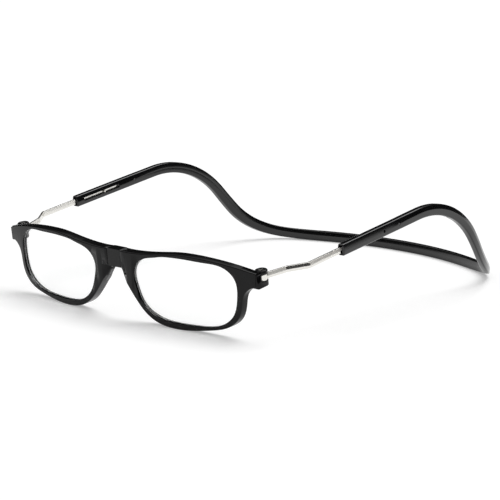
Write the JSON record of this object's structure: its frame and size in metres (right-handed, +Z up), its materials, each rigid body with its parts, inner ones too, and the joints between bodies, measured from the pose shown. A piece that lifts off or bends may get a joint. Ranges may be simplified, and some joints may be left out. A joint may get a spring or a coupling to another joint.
{
  "type": "magnetic bridge reading glasses",
  "caption": "Wrap-round reading glasses whose front parts at a magnetic bridge, with hinged half fronts, sliding metal arms and a one-piece band round the neck.",
  "frame": {"origin": "on the table, at the middle of the object's box in X and Y", "axes": "+X to the wearer's left across the face, +Y from the lenses back to the neck, +Z up"},
  "size_m": [0.1564, 0.1973, 0.0432],
  "materials": {
    "band_plastic": "black moulded plastic with a polished skin",
    "frame_plastic": "black moulded plastic, satin on the face and glossier on the rounded edges",
    "bridge_plastic": "black moulded plastic, satin",
    "cap_plastic": "black moulded plastic, polished",
    "lens_clear": "clear moulded lens plastic, polished",
    "arm_steel": "pale stamped steel with a rolled, finely marked edge",
    "screw_steel": "plain turned steel",
    "rivet_steel": "plain steel, rounded by the press",
    "pin_steel": "plain ground steel",
    "insert_brass": "plain turned brass",
    "washer_nylon": "natural nylon",
    "magnet_nickel": "nickel plate over a sintered magnet"
  },
  "bodies": {
    "band": {"neck_band": "band_plastic", "stop_pin_left": "pin_steel", "stop_pin_right": "pin_steel"},
    "arm_left": {"arm_left": "arm_steel", "guide_rivet_left": "rivet_steel"},
    "arm_right": {"arm_right": "arm_steel", "guide_rivet_right": "rivet_steel"},
    "front_left": {"front_left": "frame_plastic", "lens_left": "lens_clear", "bridge_block": "bridge_plastic", "bridge_cap": "cap_plastic", "magnet_left": "magnet_nickel", "hinge_screw_left": "screw_steel", "hinge_insert_left": "insert_brass", "hinge_washer_left": "washer_nylon"},
    "front_right": {"front_right": "frame_plastic", "lens_right": "lens_clear", "magnet_right": "magnet_nickel", "hinge_screw_right": "screw_steel", "hinge_insert_right": "insert_brass", "hinge_washer_right": "washer_nylon"}
  },
  "joints": [
    {"name": "arm_left_slide", "type": "slide", "parent": "band", "child": "arm_left", "axis": [0, 0.9871, 0.1599], "range_m": [-0.0122, 0.0085]},
    {"name": "arm_right_slide", "type": "slide", "parent": "band", "child": "arm_right", "axis": [0, 0.9871, 0.1599], "range_m": [-0.0122, 0.0085]},
    {"name": "front_left_hinge", "type": "hinge", "parent": "arm_left", "child": "front_left", "pos_m": [0.0683, -0.08434, 0.02581], "axis": [0, -0.1599, 0.9871], "range_deg": [0, 90]},
    {"name": "front_right_hinge", "type": "hinge", "parent": "arm_right", "child": "front_right", "pos_m": [-0.0683, -0.08434, 0.02581], "axis": [0, 0.1599, -0.9871], "range_deg": [0, 90]}
  ]
}
